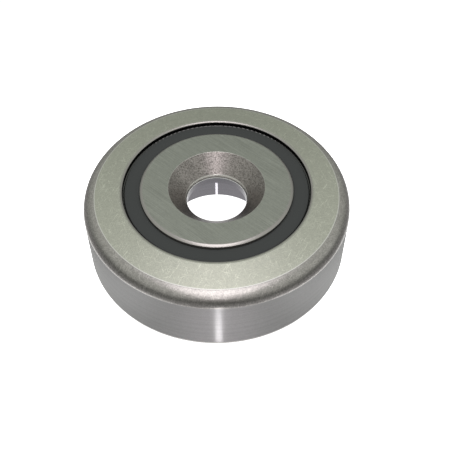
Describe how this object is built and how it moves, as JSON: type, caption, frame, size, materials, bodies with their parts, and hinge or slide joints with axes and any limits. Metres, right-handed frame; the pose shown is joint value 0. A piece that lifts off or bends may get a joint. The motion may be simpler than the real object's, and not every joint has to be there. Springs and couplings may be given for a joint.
{
  "type": "cam follower",
  "caption": "Thick-walled sealed ball track roller whose cup-shaped inner ring is held on a spigot by one countersunk screw, so the outer ring rolls on a rail or cam.",
  "frame": {"origin": "centre of the bottom side face, on the spin axis", "axes": "+Z along the spin axis, towards the countersunk face; X and Y are free, with the first upper ball on +X"},
  "size_m": [0.1, 0.1, 0.03],
  "materials": {
    "outer_ring_steel": "ground tread, turned corner, fine matte side faces",
    "inner_ring_steel": "surface-ground faces, turned countersink, ground bore",
    "ball_steel": "polished",
    "cage_polyamide": "moulded polyamide",
    "seal_rubber": "matte black nitrile rubber",
    "seal_core_steel": "pressed sheet steel"
  },
  "bodies": {
    "inner_ring": {"inner_ring": "inner_ring_steel"},
    "outer_ring": {"outer_ring": "outer_ring_steel", "upper_seal_rubber": "seal_rubber", "upper_seal_core": "seal_core_steel", "lower_seal_rubber": "seal_rubber", "lower_seal_core": "seal_core_steel"},
    "upper_cage": {"upper_cage": "cage_polyamide"},
    "lower_cage": {"lower_cage": "cage_polyamide"},
    "upper_ball_01": {"upper_ball_01": "ball_steel"},
    "upper_ball_02": {"upper_ball_02": "ball_steel"},
    "upper_ball_03": {"upper_ball_03": "ball_steel"},
    "upper_ball_04": {"upper_ball_04": "ball_steel"},
    "upper_ball_05": {"upper_ball_05": "ball_steel"},
    "upper_ball_06": {"upper_ball_06": "ball_steel"},
    "upper_ball_07": {"upper_ball_07": "ball_steel"},
    "upper_ball_08": {"upper_ball_08": "ball_steel"},
    "upper_ball_09": {"upper_ball_09": "ball_steel"},
    "upper_ball_10": {"upper_ball_10": "ball_steel"},
    "upper_ball_11": {"upper_ball_11": "ball_steel"},
    "upper_ball_12": {"upper_ball_12": "ball_steel"},
    "lower_ball_01": {"lower_ball_01": "ball_steel"},
    "lower_ball_02": {"lower_ball_02": "ball_steel"},
    "lower_ball_03": {"lower_ball_03": "ball_steel"},
    "lower_ball_04": {"lower_ball_04": "ball_steel"},
    "lower_ball_05": {"lower_ball_05": "ball_steel"},
    "lower_ball_06": {"lower_ball_06": "ball_steel"},
    "lower_ball_07": {"lower_ball_07": "ball_steel"},
    "lower_ball_08": {"lower_ball_08": "ball_steel"},
    "lower_ball_09": {"lower_ball_09": "ball_steel"},
    "lower_ball_10": {"lower_ball_10": "ball_steel"},
    "lower_ball_11": {"lower_ball_11": "ball_steel"},
    "lower_ball_12": {"lower_ball_12": "ball_steel"}
  },
  "joints": [
    {"name": "outer_spin", "type": "hinge", "parent": "inner_ring", "child": "outer_ring", "pos_m": [0, 0, 0.015], "axis": [0, 0, 1], "continuous": true},
    {"name": "upper_cage_spin", "type": "hinge", "parent": "inner_ring", "child": "upper_cage", "pos_m": [0, 0, 0.02106], "axis": [0, 0, 1], "continuous": true},
    {"name": "lower_cage_spin", "type": "hinge", "parent": "inner_ring", "child": "lower_cage", "pos_m": [0, 0, 0.00894], "axis": [0, 0, 1], "continuous": true},
    {"name": "upper_ball_01_roll", "type": "hinge", "parent": "upper_cage", "child": "upper_ball_01", "pos_m": [0.03175, 0, 0.02106], "axis": [0, 0, 1], "continuous": true},
    {"name": "upper_ball_02_roll", "type": "hinge", "parent": "upper_cage", "child": "upper_ball_02", "pos_m": [0.0275, 0.01588, 0.02106], "axis": [0, 0, 1], "continuous": true},
    {"name": "upper_ball_03_roll", "type": "hinge", "parent": "upper_cage", "child": "upper_ball_03", "pos_m": [0.01588, 0.0275, 0.02106], "axis": [0, 0, 1], "continuous": true},
    {"name": "upper_ball_04_roll", "type": "hinge", "parent": "upper_cage", "child": "upper_ball_04", "pos_m": [0, 0.03175, 0.02106], "axis": [0, 0, 1], "continuous": true},
    {"name": "upper_ball_05_roll", "type": "hinge", "parent": "upper_cage", "child": "upper_ball_05", "pos_m": [-0.01588, 0.0275, 0.02106], "axis": [0, 0, 1], "continuous": true},
    {"name": "upper_ball_06_roll", "type": "hinge", "parent": "upper_cage", "child": "upper_ball_06", "pos_m": [-0.0275, 0.01588, 0.02106], "axis": [0, 0, 1], "continuous": true},
    {"name": "upper_ball_07_roll", "type": "hinge", "parent": "upper_cage", "child": "upper_ball_07", "pos_m": [-0.03175, 0, 0.02106], "axis": [0, 0, 1], "continuous": true},
    {"name": "upper_ball_08_roll", "type": "hinge", "parent": "upper_cage", "child": "upper_ball_08", "pos_m": [-0.0275, -0.01588, 0.02106], "axis": [0, 0, 1], "continuous": true},
    {"name": "upper_ball_09_roll", "type": "hinge", "parent": "upper_cage", "child": "upper_ball_09", "pos_m": [-0.01588, -0.0275, 0.02106], "axis": [0, 0, 1], "continuous": true},
    {"name": "upper_ball_10_roll", "type": "hinge", "parent": "upper_cage", "child": "upper_ball_10", "pos_m": [0, -0.03175, 0.02106], "axis": [0, 0, 1], "continuous": true},
    {"name": "upper_ball_11_roll", "type": "hinge", "parent": "upper_cage", "child": "upper_ball_11", "pos_m": [0.01588, -0.0275, 0.02106], "axis": [0, 0, 1], "continuous": true},
    {"name": "upper_ball_12_roll", "type": "hinge", "parent": "upper_cage", "child": "upper_ball_12", "pos_m": [0.0275, -0.01588, 0.02106], "axis": [0, 0, 1], "continuous": true},
    {"name": "lower_ball_01_roll", "type": "hinge", "parent": "lower_cage", "child": "lower_ball_01", "pos_m": [0.03067, 0.00822, 0.00894], "axis": [0, 0, 1], "continuous": true},
    {"name": "lower_ball_02_roll", "type": "hinge", "parent": "lower_cage", "child": "lower_ball_02", "pos_m": [0.02245, 0.02245, 0.00894], "axis": [0, 0, 1], "continuous": true},
    {"name": "lower_ball_03_roll", "type": "hinge", "parent": "lower_cage", "child": "lower_ball_03", "pos_m": [0.00822, 0.03067, 0.00894], "axis": [0, 0, 1], "continuous": true},
    {"name": "lower_ball_04_roll", "type": "hinge", "parent": "lower_cage", "child": "lower_ball_04", "pos_m": [-0.00822, 0.03067, 0.00894], "axis": [0, 0, 1], "continuous": true},
    {"name": "lower_ball_05_roll", "type": "hinge", "parent": "lower_cage", "child": "lower_ball_05", "pos_m": [-0.02245, 0.02245, 0.00894], "axis": [0, 0, 1], "continuous": true},
    {"name": "lower_ball_06_roll", "type": "hinge", "parent": "lower_cage", "child": "lower_ball_06", "pos_m": [-0.03067, 0.00822, 0.00894], "axis": [0, 0, 1], "continuous": true},
    {"name": "lower_ball_07_roll", "type": "hinge", "parent": "lower_cage", "child": "lower_ball_07", "pos_m": [-0.03067, -0.00822, 0.00894], "axis": [0, 0, 1], "continuous": true},
    {"name": "lower_ball_08_roll", "type": "hinge", "parent": "lower_cage", "child": "lower_ball_08", "pos_m": [-0.02245, -0.02245, 0.00894], "axis": [0, 0, 1], "continuous": true},
    {"name": "lower_ball_09_roll", "type": "hinge", "parent": "lower_cage", "child": "lower_ball_09", "pos_m": [-0.00822, -0.03067, 0.00894], "axis": [0, 0, 1], "continuous": true},
    {"name": "lower_ball_10_roll", "type": "hinge", "parent": "lower_cage", "child": "lower_ball_10", "pos_m": [0.00822, -0.03067, 0.00894], "axis": [0, 0, 1], "continuous": true},
    {"name": "lower_ball_11_roll", "type": "hinge", "parent": "lower_cage", "child": "lower_ball_11", "pos_m": [0.02245, -0.02245, 0.00894], "axis": [0, 0, 1], "continuous": true},
    {"name": "lower_ball_12_roll", "type": "hinge", "parent": "lower_cage", "child": "lower_ball_12", "pos_m": [0.03067, -0.00822, 0.00894], "axis": [0, 0, 1], "continuous": true}
  ],
  "couplings": [
    {"joint": "upper_cage_spin", "follows": "outer_spin", "ratio": 0.575},
    {"joint": "lower_cage_spin", "follows": "outer_spin", "ratio": 0.575},
    {"joint": "upper_ball_01_roll", "follows": "outer_spin", "ratio": 3.2585},
    {"joint": "upper_ball_02_roll", "follows": "outer_spin", "ratio": 3.2585},
    {"joint": "upper_ball_03_roll", "follows": "outer_spin", "ratio": 3.2585},
    {"joint": "upper_ball_04_roll", "follows": "outer_spin", "ratio": 3.2585},
    {"joint": "upper_ball_05_roll", "follows": "outer_spin", "ratio": 3.2585},
    {"joint": "upper_ball_06_roll", "follows": "outer_spin", "ratio": 3.2585},
    {"joint": "upper_ball_07_roll", "follows": "outer_spin", "ratio": 3.2585},
    {"joint": "upper_ball_08_roll", "follows": "outer_spin", "ratio": 3.2585},
    {"joint": "upper_ball_09_roll", "follows": "outer_spin", "ratio": 3.2585},
    {"joint": "upper_ball_10_roll", "follows": "outer_spin", "ratio": 3.2585},
    {"joint": "upper_ball_11_roll", "follows": "outer_spin", "ratio": 3.2585},
    {"joint": "upper_ball_12_roll", "follows": "outer_spin", "ratio": 3.2585},
    {"joint": "lower_ball_01_roll", "follows": "outer_spin", "ratio": 3.2585},
    {"joint": "lower_ball_02_roll", "follows": "outer_spin", "ratio": 3.2585},
    {"joint": "lower_ball_03_roll", "follows": "outer_spin", "ratio": 3.2585},
    {"joint": "lower_ball_04_roll", "follows": "outer_spin", "ratio": 3.2585},
    {"joint": "lower_ball_05_roll", "follows": "outer_spin", "ratio": 3.2585},
    {"joint": "lower_ball_06_roll", "follows": "outer_spin", "ratio": 3.2585},
    {"joint": "lower_ball_07_roll", "follows": "outer_spin", "ratio": 3.2585},
    {"joint": "lower_ball_08_roll", "follows": "outer_spin", "ratio": 3.2585},
    {"joint": "lower_ball_09_roll", "follows": "outer_spin", "ratio": 3.2585},
    {"joint": "lower_ball_10_roll", "follows": "outer_spin", "ratio": 3.2585},
    {"joint": "lower_ball_11_roll", "follows": "outer_spin", "ratio": 3.2585},
    {"joint": "lower_ball_12_roll", "follows": "outer_spin", "ratio": 3.2585}
  ]
}
